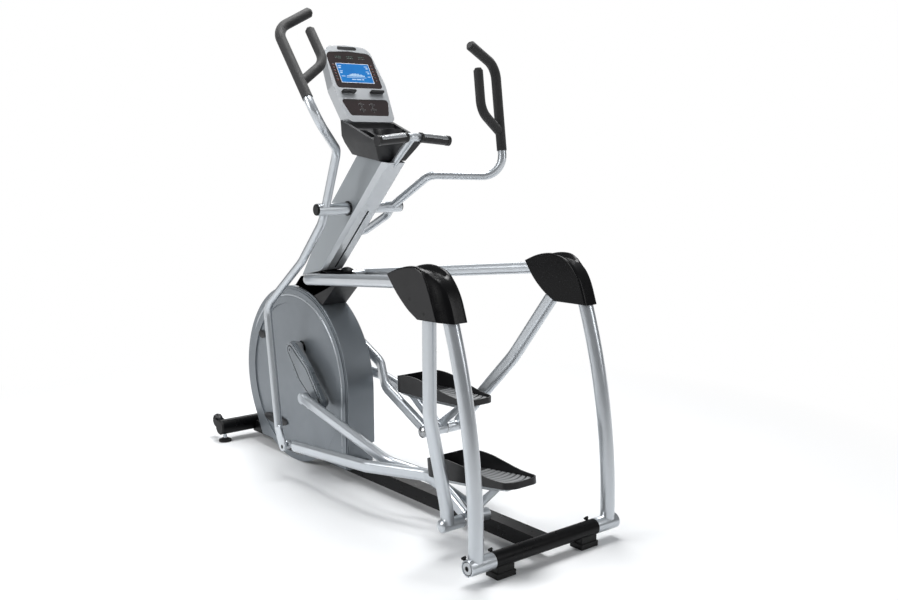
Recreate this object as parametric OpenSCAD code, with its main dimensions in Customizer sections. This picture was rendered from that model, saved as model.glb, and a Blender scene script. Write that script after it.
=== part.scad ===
// Elliptical trainer with a rear stride rail frame, moving handles and a console mast.
// Floor plane z = 0, the user faces +Y, +X is the user's right hand.

/* [Floor frame] */
// Distance from the rear cross tube to the front stabilizer
wheelbase = 1790; // [1700:10:1860]
// Rear cross tube outside diameter
rear_tube_d = 52; // [46:1:56]
// Height of the rear cross tube's axis
rear_tube_z = 57; // [54:1:62]
// Half length of the black middle of the rear cross tube
rear_tube_half = 226; // [200:1:250]
// Front stabilizer outside diameter
front_tube_d = 64; // [58:1:68]
// Height of the front stabilizer's axis
front_tube_z = 65; // [60:1:70]
// Half length of the front stabilizer
front_tube_half = 184; // [170:1:200]
// Main beam width
beam_width = 60; // [50:1:64]
// Main beam height
beam_height = 50; // [40:1:50]
// Transport wheel diameter
wheel_d = 60; // [50:1:64]

/* [Uprights and rails] */
// Distance from the centre plane to each upright
upright_x = 290; // [288:0.5:292]
// Upright outside diameter
upright_d = 48; // [44:1:50]
// Radius of the upright's bow
upright_bow = 2010; // [1900:10:2200]
// Height of the upright's top
upright_top = 836; // [830:1:842]
// Rail section width
rail_w = 36; // [32:1:38]
// Rail section height
rail_h = 42; // [38:1:46]

/* [Stride linkage] */
// Suspension pivot, distance ahead of the rear cross tube
arm_pivot_y = 235; // [230:1:240]
// Suspension pivot height
arm_pivot_z = 830; // [826:1:834]
// Suspension arm length, pivot to foot axle
arm_length = 730; // [724:1:734]
// Crank axle, distance ahead of the rear cross tube
crank_y = 1330; // [1325:1:1335]
// Crank axle height
crank_z = 473; // [468:1:478]
// Crank radius
crank_radius = 263; // [258:1:266]
// Lower link length, foot axle to crank pin
link_length = 932; // [926:1:938]
// Pedal link length, foot axle to handle joint
pedal_link_length = 980; // [974:1:986]
// Handle length below its pivot
handle_drop = 940; // [934:1:946]
// Stored crank angle of the left side
crank_phase = 222; // [215:1:229]
// Radial running clearance of every pivot
running = 0.05; // [0.02:0.01:0.08]
// Wall of the steel tubes
tube_wall = 2.5; // [2:0.1:3]

/* [Pedals] */
// Pedal length
pedal_length = 408; // [390:1:412]
// Pedal width
pedal_width = 156; // [140:1:156]
// Gap between the two pedals
pedal_gap = 56; // [52:1:70]
// Height of the pedal wall near the toe
pedal_wall_h = 68; // [60:1:74]
// Pedal wall height at the heel
heel_wall_h = 21; // [18:1:26]
// Number of tread ribs
tread_ribs = 15; // [8:1:18]

/* [Handles] */
// Handle pivot, distance ahead of the rear cross tube
handle_pivot_y = 1005; // [1000:1:1010]
// Handle pivot height
handle_pivot_z = 1051; // [1046:1:1056]
// Handle tube diameter
handle_d = 31; // [28:0.5:32]
// Foam grip diameter
foam_d = 36; // [35:0.5:38]

/* [Drive] */
// Shroud radius
shroud_r = 380; // [370:1:385]
// Shroud half thickness
shroud_half = 62; // [60:0.5:63]
// Drive pulley radius
pulley_r = 120; // [100:1:130]
// Flywheel radius
flywheel_r = 130; // [110:1:134]

/* [Mast and console] */
// Mast half width
mast_half = 50; // [48:0.5:51]
// Console tilt back from upright
console_tilt = 31.7; // [28:0.1:35]
// Console length along its face
console_length = 329; // [322:1:335]
// Console half width at its widest
console_half = 118; // [112:1:120]
// Upper edge of the display glass along the face
display_top = 277; // [270:1:280]
// Half width of the display glass
display_half = 101; // [94:1:103]
// Half width of the lit screen
screen_half = 71; // [60:1:75]
// Bottle holder bore radius
cup_r = 44; // [38:1:46]
// Console key radius
key_r = 7; // [5:0.5:8]

/* [Hidden] */
$fn = 96;

silver = [0.78, 0.80, 0.82];
black = [0.06, 0.06, 0.065];
dark = [0.11, 0.11, 0.12];
grey = [0.46, 0.49, 0.52];
rubber = [0.04, 0.04, 0.04];

joint_gap = 0.05;      // between parts that are clamped or welded together
bend_swell = 0.1;      // bends are this much fatter, so each straight end is buried in one
side_inset = 0.03;     // straight sides of a strap sit this far inside its round ends
beam_bottom = 27;
shroud_at = [crank_y + 55, crank_z - 136];
wheel_at = [wheelbase + front_tube_d / 2 + wheel_d / 2 + 3, front_tube_z + 13];
foot_r = 21;
axle_r = 10;
shaft_r = 12;
arm_x = 284;
arm_foot_x = 216;
rear_reach = rear_tube_d / 2;
front_reach = wheel_at.x + wheel_d / 2;
mid_y = (front_reach - rear_reach) / 2;

// Circle meeting point: s picks the side of the line from a to b.
function meet(a, ra, b, rb, s) = let (d = norm(b - a), u = (b - a) / d,
    x = (d * d + ra * ra - rb * rb) / (2 * d), h = sqrt(ra * ra - x * x))
    a + u * x + s * h * [-u.y, u.x];
arm_pivot = [arm_pivot_y, arm_pivot_z];
crank_at = [crank_y, crank_z];
handle_pivot = [handle_pivot_y, handle_pivot_z];
function phase(side) = crank_phase + (side < 0 ? 0 : 180);
function crank_pin(side) = crank_at + crank_radius * [cos(phase(side)), sin(phase(side))];
function foot_at(side) = meet(arm_pivot, arm_length, crank_pin(side), link_length, -1);
function handle_joint(side) = meet(handle_pivot, handle_drop, foot_at(side), pedal_link_length, 1);
function slope(a, b) = atan2(b.y - a.y, b.x - a.x);
function forward(a, b) = atan2(b.x - a.x, a.y - b.y);

function unit(v) = v / norm(v);
function turned(v, k, a) = v * cos(a) + cross(k, v) * sin(a) + k * (k * v) * (1 - cos(a));
function between(u, v) = atan2(norm(cross(u, v)), u * v);
function ups(dirs, up, i) = i == 0 ? up
    : turned(ups(dirs, up, i - 1), unit(cross(dirs[i - 1], dirs[i])), between(dirs[i - 1], dirs[i]));

module at_origin() translate([0, -mid_y, 0]) children();
module mirrored(side) { if (side < 0) mirror([1, 0, 0]) children(); else children(); }
module both() { children(); mirror([1, 0, 0]) children(); }
// Side view placing: local y runs along the link, local z above it, x outward.
module posed(at, angle) translate([0, at.x, at.y]) rotate([angle, 0, 0]) children();
module rod(r, x0, x1) translate([x0, 0, 0]) rotate([0, 90, 0]) cylinder(r = r, h = x1 - x0);
module ring(r, bore, x0, x1) difference() {
    rod(r, x0, x1);
    rod(bore, x0 - 1, x1 + 1);
}
module slab(x0, x1) translate([x0, 0, 0]) rotate([90, 0, 90]) linear_extrude(x1 - x0) children();
module placed(x, y, z, at) multmatrix([[x.x, y.x, z.x, at.x], [x.y, y.y, z.y, at.y],
    [x.z, y.z, z.z, at.z], [0, 0, 0, 1]]) children();
module block(x0, x1, y0, y1, z0, z1) translate([x0, y0, z0]) cube([x1 - x0, y1 - y0, z1 - z0]);

module oval(w, h) {
    r = min(w, h) / 2;
    for (s = [-1, 1]) translate(w < h ? [0, s * (h / 2 - r)] : [s * (w / 2 - r), 0]) circle(r);
    square(w < h ? [w, h - w] : [w - h, h], center = true);
}
// A strap of one width between two points.
module strap(a, b, r) {
    translate(a) circle(r);
    translate(b) circle(r);
    translate(a) rotate(slope(a, b)) translate([0, side_inset - r]) square([norm(b - a), 2 * (r - side_inset)]);
}
// A strap that tapers from ra to rb, sides tangent to both circles.
module taper(a, ra, b, rb) {
    t = acos((ra - rb) / norm(b - a));
    s = slope(a, b);
    translate(a) circle(ra);
    translate(b) circle(rb);
    ca = ra - side_inset;
    cb = rb - side_inset;
    polygon([a + ca * [cos(s + t), sin(s + t)], b + cb * [cos(s + t), sin(s + t)],
        b + cb * [cos(s - t), sin(s - t)], a + ca * [cos(s - t), sin(s - t)]]);
}
module soft_box(w, h, r) {
    square([w - 2 * r, h], center = true);
    square([w, h - 2 * r], center = true);
    for (x = [-1, 1], y = [-1, 1]) translate([x * (w / 2 - r), y * (h / 2 - r)]) circle(r);
}

// Straight lengths of the first child joined by bends of the second, a hair fatter.
module run(pts, bend, up) {
    n = len(pts);
    dirs = [for (i = [0 : n - 2]) unit(pts[i + 1] - pts[i])];
    trim = [for (i = [0 : n - 1]) i == 0 || i == n - 1 ? 0
        : bend * tan(between(dirs[i - 1], dirs[i]) / 2) - 2];
    first = unit(up - dirs[0] * (up * dirs[0]));
    for (i = [0 : n - 2]) {
        u = ups(dirs, first, i);
        placed(cross(u, dirs[i]), u, dirs[i], pts[i] + dirs[i] * trim[i])
            linear_extrude(norm(pts[i + 1] - pts[i]) - trim[i] - trim[i + 1]) children(0);
    }
    if (n > 2) for (i = [1 : n - 2]) {
        axis = unit(cross(dirs[i - 1], dirs[i]));
        out = cross(dirs[i - 1], axis);
        u = ups(dirs, first, i - 1);
        placed(out, dirs[i - 1], axis, pts[i] - dirs[i - 1] * (trim[i] + 2) - out * bend)
            rotate_extrude(angle = between(dirs[i - 1], dirs[i]))
                translate([bend, 0]) rotate(atan2(u * axis, u * out) - 90) children(1);
    }
}
module bar(pts, bend, r, up = [1, 0, 0]) run(pts, bend, up) {
    circle(r);
    circle(r + bend_swell);
}
module tube(pts, bend, r, up = [1, 0, 0]) run(pts, bend, up) {
    difference() { circle(r); circle(r - tube_wall); }
    difference() { circle(r + bend_swell); circle(r - tube_wall - bend_swell); }
}
module oval_ring(w, h, wall) difference() { oval(w, h); oval(w - 2 * wall, h - 2 * wall); }
module oval_tube(pts, bend, w, h, up) run(pts, bend, up) {
    oval_ring(w, h, tube_wall);
    oval_ring(w + 2 * bend_swell, h + 2 * bend_swell, tube_wall + 2 * bend_swell);
}

// ---- floor frame ----
module main_beam() at_origin() color(black) difference() {
    block(-beam_width / 2, beam_width / 2, 8, wheelbase - 8, beam_bottom, beam_bottom + beam_height);
    block(-beam_width / 2 + 3, beam_width / 2 - 3, 40, wheelbase - 45, beam_bottom + 3, beam_bottom + beam_height - 3);
    translate([0, 0, rear_tube_z]) rod(rear_tube_d / 2 + joint_gap, -beam_width, beam_width);
    translate([0, wheelbase, front_tube_z]) rod(front_tube_d / 2 + joint_gap, -beam_width, beam_width);
}
module front_stabilizer() at_origin() color(black) {
    translate([0, wheelbase, front_tube_z])
        ring(front_tube_d / 2, front_tube_d / 2 - 3, -front_tube_half, front_tube_half);
    both() for (x = [front_tube_half - 36, front_tube_half - 4]) difference() {
        slab(x - 4, x) strap([wheelbase + front_tube_d / 2 - 6, front_tube_z + 6], wheel_at, 13);
        translate([0, wheelbase, front_tube_z]) rod(front_tube_d / 2 - 1, 0, front_tube_half);
    }
    both() translate([0, wheel_at.x, wheel_at.y]) rod(4, front_tube_half - 38, front_tube_half - 6);
}
module wheel(side) at_origin() color(dark) mirrored(side) translate([0, wheel_at.x, wheel_at.y])
    translate([front_tube_half - 22, 0, 0]) rotate([0, 90, 0]) rotate_extrude() difference() {
        union() {
            translate([4 + running, -11]) square([wheel_d / 2 - 7 - running, 22]);
            translate([wheel_d / 2 - 5, 0]) intersection() {
                square([10, 22], center = true);
                translate([-14, 0]) circle(19);
            }
        }
        for (s = [-1, 1]) translate([16, s * 13]) square([10, 10], center = true);
    }
module left_wheel() wheel(-1);
module right_wheel() wheel(1);
module tube_end_caps() at_origin() color(rubber) both() {
    // front stabilizer plugs
    translate([front_tube_half + joint_gap, wheelbase, front_tube_z]) rotate([0, 90, 0]) rotate_extrude() {
        square([front_tube_d / 2, 5]);
        translate([0, 5]) square([front_tube_d / 2 - 3, 3]);
    }
    // rear sleeve plugs
    translate([0, 0, rear_tube_z]) {
        ring(8, 4.5, 319, 325.5);
        rod(21.9, 312, 319);
    }
    // small clamp screws that peep over the rear tube
    for (x = [rear_tube_half - 14, 318]) translate([x, 0, rear_tube_z]) rotate([48, 0, 0])
        translate([0, rear_tube_d / 2 + joint_gap, 0]) rotate([-90, 0, 0]) {
            cylinder(r = 5, h = 5);
            translate([0, 0, 5]) cylinder(r = 8, h = 6);
        }
}
module rubber_feet() at_origin() color(rubber) both() {
    difference() {
        union() {
            block(rear_tube_half - 80, rear_tube_half - 4, -24, 30, 0, 18);
            block(rear_tube_half - 76, rear_tube_half - 8, -20, 24, 18, rear_tube_z - 12);
        }
        translate([0, 0, rear_tube_z]) rod(rear_tube_d / 2 + joint_gap, 0, 400);
        for (z = [8, 24]) translate([0, -25, z]) rod(2, 0, 400);
    }
    translate([front_tube_half - 20, wheelbase, 0]) {
        cylinder(r = 27, h = 9);
        translate([0, 0, 9]) cylinder(r1 = 24, r2 = 15, h = 6);
    }
}
module leveling_screws() at_origin() color(silver) both()
    translate([front_tube_half - 20, wheelbase, 15 + joint_gap]) {
        cylinder(r = 6, h = front_tube_z - front_tube_d / 2 - 15 - joint_gap - 0.3);
        translate([0, 0, 4]) cylinder(r = 10, h = 7, $fn = 6);
    }
module rear_cross_tube() at_origin() color(black) translate([0, 0, rear_tube_z]) {
    ring(rear_tube_d / 2, rear_tube_d / 2 - 3, -rear_tube_half, rear_tube_half);
    both() ring(rear_tube_d / 2 - 4 - joint_gap, rear_tube_d / 2 - 8, rear_tube_half - 30, 300);
    both() ring(rear_tube_d / 2 - 2, rear_tube_d / 2 - 6, rear_tube_half - 30, rear_tube_half - 20);
}

// ---- uprights, brackets and rails ----
bow_from = -9;          // below the sleeve top, so the tube is welded all round
plate_in = 256;
plate_out = 306;
plate_t = 6;
function bow_y(z) = upright_bow * (1 - sqrt(1 - pow((z - 80) / upright_bow, 2)));
module bracket_outline() polygon([[bow_y(770) - 4, 778], [bow_y(upright_top) + 2, 858], [200, 905],
    [326, 905], [326, 850], [arm_pivot_y + 32, 800], [204, 786]]);
module upright(side) at_origin() color(silver) mirrored(side) {
    difference() {
        union() {
            translate([0, 0, rear_tube_z]) rod(rear_tube_d / 2, rear_tube_half + joint_gap, 324);
            placed([0, -1, 0], [0, 0, 1], [-1, 0, 0], [upright_x, upright_bow, 80])
                rotate([0, 0, asin(bow_from / upright_bow)])
                rotate_extrude(angle = asin((upright_top - 80) / upright_bow) - asin(bow_from / upright_bow), $fn = 720)
                    translate([upright_bow, 0]) difference() {
                        circle(upright_d / 2);
                        circle(upright_d / 2 - tube_wall);
                    }
        }
        translate([0, 0, rear_tube_z]) rod(rear_tube_d / 2 - 4, rear_tube_half - 5, 330);
    }
    difference() {
        for (x = [plate_in, plate_out]) slab(x, x + plate_t) bracket_outline();
        translate([0, arm_pivot_y, arm_pivot_z]) rod(8 + running, 200, 400);
    }
    block(plate_in + 1, plate_out + plate_t - 1, bow_y(upright_top) - 6, bow_y(upright_top) + 26, 806, 846);
}
module left_upright() upright(-1);
module right_upright() upright(1);

rail_rear = [290, 415, 865];
rail_front = [140, 1147, 778];
rail_dir = unit(rail_front - rail_rear);
rail_start = rail_rear - rail_dir * (rail_rear.y - 329) / rail_dir.y;
module side_rail(side) at_origin() color(silver) mirrored(side) {
    oval_tube([rail_start, rail_front + rail_dir * 8, [mast_half + 6, 1196, 768]], 45, rail_w, rail_h,
        unit(cross(rail_dir, cross([0, 0, 1], rail_dir))));
    block(plate_in + 1, plate_out + plate_t + 14, 326 + joint_gap, 333, 850, 904);
    translate([0, 1196, 768]) rod(16, mast_half + joint_gap, mast_half + 8);
}
module left_side_rail() side_rail(-1);
module right_side_rail() side_rail(1);

// ---- pivot housings ----
house_in = 250;
house_out = 331.5;
house_line = [[137, 776], [165, 845], [190, 895], [212, 922], [255, 932], [322, 921], [386, 897],
    [338, 843], [287, 800], [235, 772]];
house_rear = [[90, 776], [116, 845], [149, 893], [188, 922], [255, 934], [322, 923], [380, 899],
    [338, 843], [287, 800], [235, 772]];
house_void = [[88, 760], [119, 844], [152, 890], [190, 918], [255, 929.5], [322, 918], [373, 895],
    [400, 860], [330, 760]];
house_line_void = [[152, 760], [180, 844], [204, 890], [222, 914], [255, 928], [322, 917], [379, 894],
    [400, 860], [330, 760]];
module housing(side) at_origin() color(black) mirrored(side) difference() {
    hull() {
        slab(house_in, house_out) polygon(house_line);
        slab(house_in + 2, house_out - 20) polygon(house_rear);
    }
    hull() {
        slab(house_in + 3, house_out + 5) polygon(house_line_void);
        slab(house_in + 5, house_out - 23) polygon(house_void);
    }
    // shallow step in the top
    hull() {
        slab(house_in + 9, house_out - 9) polygon([[214, 927], [255, 941], [330, 925], [340, 911], [255, 930.5]]);
        slab(house_in + 22, house_out - 22) polygon([[214, 925], [255, 941], [330, 925], [355, 903], [255, 930.5]]);
    }
}
module left_housing() housing(-1);
module right_housing() housing(1);
panel_screws = [[268, 832], [200, 794]];
module housing_panels() at_origin() color(dark) both() difference() {
    union() {
        slab(house_out + joint_gap, house_out + 3.5) polygon([for (p = house_line) p + 1 * unit([255, 850] - p)]);
        slab(house_out - 3, house_out + 1) polygon([for (p = house_line) p + 36 * unit([255, 850] - p)]);
    }
    for (p = panel_screws) translate([0, p.x, p.y]) rod(6, house_out + 1.5, house_out + 9);
}
module housing_screws() at_origin() color(rubber) both() for (p = panel_screws)
    translate([0, p.x, p.y]) difference() {
        rod(5, house_out + 1.5, house_out + 3.3);
        rod(2, house_out + 2.3, house_out + 6);
    }
module arm_pins() at_origin() color(silver) both() translate([0, arm_pivot_y, arm_pivot_z]) {
    rod(8, plate_in - 1, plate_out + plate_t + 1);
    rod(12, plate_in - 2.5, plate_in - joint_gap);
    rod(13, plate_out + plate_t + joint_gap, plate_out + plate_t + 6);
}

// ---- suspension arms ----
module arm(side) at_origin() color(silver) mirrored(side)
    posed(arm_pivot, forward(arm_pivot, foot_at(side))) difference() {
        union() {
            rod(25, arm_x - 20, arm_x + 20);
            oval_tube([[arm_x, 0, -12], [arm_x, 0, -0.5 * arm_length], [arm_foot_x, 0, -0.93 * arm_length],
                [arm_foot_x, 0, 6 - arm_length]], 200, 34, 50, [0, 1, 0]);
            translate([0, 0, -arm_length]) {
                rod(foot_r, 157, 240);
                translate([240, 0, 0]) rotate([0, 90, 0]) rotate_extrude() intersection() {
                    translate([0, -22]) circle(30);
                    square([foot_r - 2, 20]);
                }
            }
        }
        rod(8 + running, arm_x - 40, arm_x + 40);
        translate([0, 0, -arm_length]) rod(axle_r + running, 150, 236);
    }
module left_arm() arm(-1);
module right_arm() arm(1);
module foot_axle(side) at_origin() color(silver) mirrored(side)
    posed(foot_at(side), forward(arm_pivot, foot_at(side))) {
        rod(axle_r, 40, 235.5);
        translate([45.6, 0, 0]) rotate([0, -90, 0]) rotate_extrude() intersection() {
            square([foot_r - 1.5, 10]);
            translate([0, -22]) circle(31);
        }
        rod(16, 94.3, 96.7);
        rod(foot_r + 1, 153.3, 156.7);
    }
module left_foot_axle() foot_axle(-1);
module right_foot_axle() foot_axle(1);

// ---- lower links to the crank ----
link_in = 70;
link_out = 141;
module link(side) at_origin() color(silver) mirrored(side)
    posed(foot_at(side), slope(foot_at(side), crank_pin(side))) difference() {
        union() {
            rod(foot_r, link_in - 24, link_in + 24);
            oval_tube([[link_in, 15, 0], [link_in, 283, 0], [link_out, 423, 0],
                [link_out, link_length + 52, 0]], 120, 28, 44, [0, 0, 1]);
            slab(link_out - 14 + 0.5, link_out + 14 - 0.5) translate([link_length + 52, 0]) circle(21.5);
            translate([0, link_length, 0]) rod(19, 120.4, link_out + 12);
        }
        rod(axle_r + running, 0, 300);
        translate([0, link_length, 0]) rod(7, link_out - 30, link_out + 9);
    }
module left_link() link(-1);
module right_link() link(1);

// ---- pedal links ----
eye_at = 206;
// pedal bottom plane in the pedal link's frame: toe end, and heel direction
toe = [166, 109];
heel_dir = unit([-397, 66]);
pedal_x = pedal_gap / 2 + pedal_width / 2;
module on_pedal() translate([pedal_x, toe.x, toe.y])
    placed([1, 0, 0], [0, heel_dir.x, heel_dir.y], [0, -heel_dir.y, heel_dir.x] * -1, [0, 0, 0]) children();
module pedal_plan(inset) hull() {
    for (x = [-1, 1]) {
        translate([x * (pedal_width / 2 - 44), 44]) circle(44 - inset, $fn = 48);
        translate([x * (pedal_width / 2 - 40), pedal_length * 0.45]) circle(40 - inset, $fn = 48);
        translate([x * (pedal_width / 2 - 52), pedal_length - 42]) circle(42 - inset, $fn = 48);
    }
}
module pedal_link(side) at_origin() color(silver) mirrored(side)
    posed(foot_at(side), slope(foot_at(side), handle_joint(side))) {
        difference() {
            union() {
                rod(foot_r, 97, 153);
                oval_tube([[205, pedal_link_length - 50, 6], [196, 470, 56], [125, 218, 83.4],
                    [125, 174, 88], [125, 13.3, 6.9]], 60, 28, 44, [0, 0, 1]);
                slab(121, 129) difference() {
                    polygon([[0, 14], [172, 90], [140, 106], [-150, 155], [-150, 149], [-20, 16]]);
                    polygon([[3, 33], [118, 90], [118, 101.4], [-112, 140.5]]);
                }
            }
            rod(axle_r + running, 60, 300);
        }
        // front plug, shank and rod end
        translate([205, pedal_link_length - 54, 6]) rotate([90, 0, 0]) translate([0, 0, -5])
            linear_extrude(6) oval(24, 40);
        placed([0, 0, 1], [1, 0, 0], [0, 1, 0], [eye_at, pedal_link_length - 52, 5]) cylinder(r = 9, h = 42);
        translate([0, pedal_link_length, 0]) {
            rod(17, eye_at - 10, eye_at + 10);
            rod(11, eye_at + 9, 220.6);
        }
        // pan under the pedal
        on_pedal() translate([0, 0, -6.05]) linear_extrude(6) intersection() {
            pedal_plan(9);
            translate([-100, 24]) square([200, pedal_length - 50]);
        }
        on_pedal() translate([0, 0, -16]) linear_extrude(10.2) intersection() {
            pedal_plan(24);
            translate([-100, 60]) square([200, pedal_length - 150]);
        }
    }
module left_pedal_link() pedal_link(-1);
module right_pedal_link() pedal_link(1);

module pedal(side) at_origin() color(black) mirrored(side)
    posed(foot_at(side), slope(foot_at(side), handle_joint(side))) on_pedal() intersection() {
        difference() {
            linear_extrude(pedal_wall_h + 4) pedal_plan(0);
            translate([0, 0, 4]) linear_extrude(pedal_wall_h + 10) pedal_plan(5);
        }
        slab(-100, 100) polygon(concat([[-5, -1], [pedal_length + 5, -1]],
            [for (i = [20 : -1 : -1]) [i * pedal_length / 19, wall_top(i / 19)]]));
    }
// Height of the side wall along the pedal, 0 at the toe end and 1 at the heel.
function wall_top(t) = t < 0.22 ? pedal_wall_h - 14 * pow(1 - t / 0.22, 2)
    : heel_wall_h + (pedal_wall_h - heel_wall_h) * (1 + cos(180 * min(1, (t - 0.22) / 0.74))) / 2;
module left_pedal() pedal(-1);
module right_pedal() pedal(1);
module tread(side) at_origin() color(grey) mirrored(side)
    posed(foot_at(side), slope(foot_at(side), handle_joint(side))) on_pedal() {
        translate([0, 0, 4.05]) linear_extrude(5) intersection() {
            pedal_plan(7);
            translate([-100, 12]) square([200, pedal_length - 24]);
        }
        for (i = [0 : tread_ribs - 1]) translate([0, 44 + i * (pedal_length - 96) / tread_ribs, 8])
            linear_extrude(6) soft_box(pedal_width - 44, 12, 5);
    }
module left_tread() tread(-1);
module right_tread() tread(1);

// ---- crank and drive ----
module crank_axle() at_origin() color(silver) posed(crank_at, 0) rod(12.5, -91.5, 91.5);
module crank_arms() at_origin() color(grey) for (side = [-1, 1]) mirrored(side)
    posed(crank_at, phase(side)) difference() {
        union() {
            slab(74, 91.9) taper([0, 0], 30, [crank_radius, 0], 22);
            translate([0, crank_radius, 0]) rod(12, 91, 119.8);
            rod(27, 64, 75);
        }
        rod(12.5 + joint_gap, 0, 100);
    }
module cover_plan(inset) for (end = [[0, 34], [crank_radius + 4, 32]])
    taper([crank_radius * 0.48, 0], 52 - inset, [end[0], 0], end[1] - inset);
module crank_covers() at_origin() color(grey) for (side = [-1, 1]) mirrored(side)
    posed(crank_at, phase(side)) difference() {
        union() {
            slab(92.3, 108) cover_plan(0);
            slab(107, 112) cover_plan(5);
            rod(15, 111, 113);
        }
        slab(90, 105) cover_plan(4);
        slab(109, 113.5) difference() {
            cover_plan(15);
            cover_plan(20);
        }
        translate([0, crank_radius, 0]) rod(13, 80, 120);
        rod(5, 110, 120);
    }
module drive_pulley() at_origin() color(dark) posed(crank_at, 0) difference() {
    union() {
        ring(pulley_r, pulley_r - 9, 20, 34);
        rod(pulley_r - 4, 24, 30);
        rod(28, 18, 36);
    }
    rod(12.5 + joint_gap, 0, 60);
    for (a = [0 : 60 : 300]) rotate([a, 0, 0]) translate([0, pulley_r * 0.6, 0]) rod(18, 0, 60);
}
flywheel_at = [crank_y + 240, crank_z - 183];
small_r = 25;
module flywheel() at_origin() color(grey) posed(flywheel_at, 0) difference() {
    union() {
        ring(flywheel_r, flywheel_r - 26, -13, 13);
        rod(flywheel_r - 20, -5, 5);
        rod(22, -16, 20);
        rod(small_r, 20, 34);
    }
    rod(8 + running, -60, 60);
}
module belt_loop(grow) taper(crank_at, pulley_r + 0.4 + grow, flywheel_at, small_r + 0.4 + grow);
module drive_belt() at_origin() color(rubber) difference() {
    slab(21, 33) belt_loop(2.6);
    slab(20, 34) belt_loop(0);
}
module brake_magnet() at_origin() color(dark) difference() {
    translate([0, flywheel_at.x, flywheel_at.y]) rotate([25, 0, 0]) difference() {
        block(-20, 20, flywheel_r - 30, flywheel_r + 26, -42, 42);
        block(-14.5, 14.5, flywheel_r - 60, flywheel_r + 8, -60, 60);
    }
    translate([0, flywheel_at.x, flywheel_at.y]) rod(flywheel_r + 4, -14, 14);
}
module core_frame() at_origin() color(black) {
    difference() {
        union() {
            slab(-20, 20) {
                strap([1240, beam_bottom + beam_height + 28], [1240, 765], 24);
                strap([1240, 765], [905, 1168], 18);
            }
            block(-20, 20, 1216, 1264, beam_bottom + beam_height + joint_gap, 140);
            block(-15, 15, 1250, crank_y - 10, crank_z - 22, crank_z + 22);
            translate([0, crank_y, crank_z]) rod(26, -46, 15);
            translate([0, handle_pivot_y, handle_pivot_z]) rod(19, -46, 46);
            block(-18, 18, 1228, 1252, 752, 784);
        }
        translate([0, crank_y, crank_z]) rod(12.5 + running, -60, 60);
        translate([0, handle_pivot_y, handle_pivot_z]) rod(shaft_r + running, -60, 60);
        slab(-16, 16) {
            strap([1240, 160], [1240, 400], 19);
            strap([1240, 540], [1240, 720], 19);
        }
    }
    // flywheel stand, axle and magnet bracket
    block(-44, -36, flywheel_at.x - 26, flywheel_at.x + 26, beam_bottom + beam_height + joint_gap, flywheel_at.y + 22);
    block(-44, -8, flywheel_at.x - 26, flywheel_at.x + 26, beam_bottom + beam_height + joint_gap, 100);
    translate([0, flywheel_at.x, flywheel_at.y]) {
        rod(8, -40, 40);
        rotate([25, 0, 0]) block(-44, -20.05, flywheel_r - 10, flywheel_r + 20, -16, 16);
        rotate([25, 0, 0]) block(-43.5, -36.5, 0, flywheel_r + 12, -16, 16);
    }
}

// ---- shroud ----
module shroud_outline(inset) {
    translate(shroud_at) circle(shroud_r - inset);
    polygon([[shroud_at.x - shroud_r + inset, shroud_at.y], [shroud_at.x - shroud_r - 5 + inset, 48],
        [shroud_at.x + 272 - inset, 48], [shroud_at.x + 315 - inset, 125], [shroud_at.x, shroud_at.y]]);
}
module shroud_shell(x0, x1, inset) difference() {
    slab(x0, x1) shroud_outline(inset);
    block(-80, 80, 900, 1900, -200, 48);
}
module shroud(side) at_origin() color(grey) mirrored(side) difference() {
    union() {
        shroud_shell(joint_gap, shroud_half - 8, 0);
        shroud_shell(shroud_half - 9, shroud_half - 4, 5);
        shroud_shell(shroud_half - 5, shroud_half - 0.5, 12);
        translate([0, shroud_at.x, shroud_at.y]) ring(shroud_r - 42, shroud_r - 68, shroud_half - 2, shroud_half);
    }
    slab(-1, shroud_half - 9) {
        translate(shroud_at) circle(shroud_r - 4);
        polygon([[shroud_at.x - shroud_r + 4, shroud_at.y], [shroud_at.x - shroud_r - 1, 30],
            [shroud_at.x + 262, 30], [shroud_at.x + 305, 125], [shroud_at.x, shroud_at.y]]);
    }
    translate([0, shroud_at.x, shroud_at.y]) rod(shroud_r - 68, shroud_half - 5.5, shroud_half + 5);
    translate([0, crank_y, crank_z]) rod(30, 0, 80);
    block(-1, beam_width / 2 + 1, 900, 1900, 0, beam_bottom + beam_height + 1);
    block(-1, mast_half - 1, 1180, 1300, 640, 740);
}
module shroud_left() shroud(-1);
module shroud_right() shroud(1);
// darker curved rear hood
module shroud_rim() at_origin() color(dark) difference() {
    slab(-shroud_half + 2, shroud_half - 2) {
        translate(shroud_at) circle(shroud_r + 6);
        polygon([[shroud_at.x - shroud_r - 6, shroud_at.y], [shroud_at.x - shroud_r - 11, 46],
            [shroud_at.x, 46], [shroud_at.x, shroud_at.y]]);
    }
    slab(-shroud_half - 3, shroud_half + 3) {
        translate(shroud_at) circle(shroud_r + joint_gap);
        polygon([[shroud_at.x - shroud_r - joint_gap, shroud_at.y], [shroud_at.x - shroud_r - 5.4 - joint_gap, 30],
            [shroud_at.x + 300, 30], [shroud_at.x, shroud_at.y]]);
        translate(shroud_at) rotate(32) translate([-900, -900]) square([1800, 900 + 40]);
        translate([shroud_at.x + 60, 0]) square([900, 900]);
        translate([600, -300]) square([1400, 346]);
        translate([shroud_at.x - 104, shroud_at.y + 250]) square([900, 900]);
    }
    block(-mast_half + 6, mast_half - 6, shroud_at.x - 178, shroud_at.x, shroud_at.y + 300, shroud_at.y + 420);
}

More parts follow.
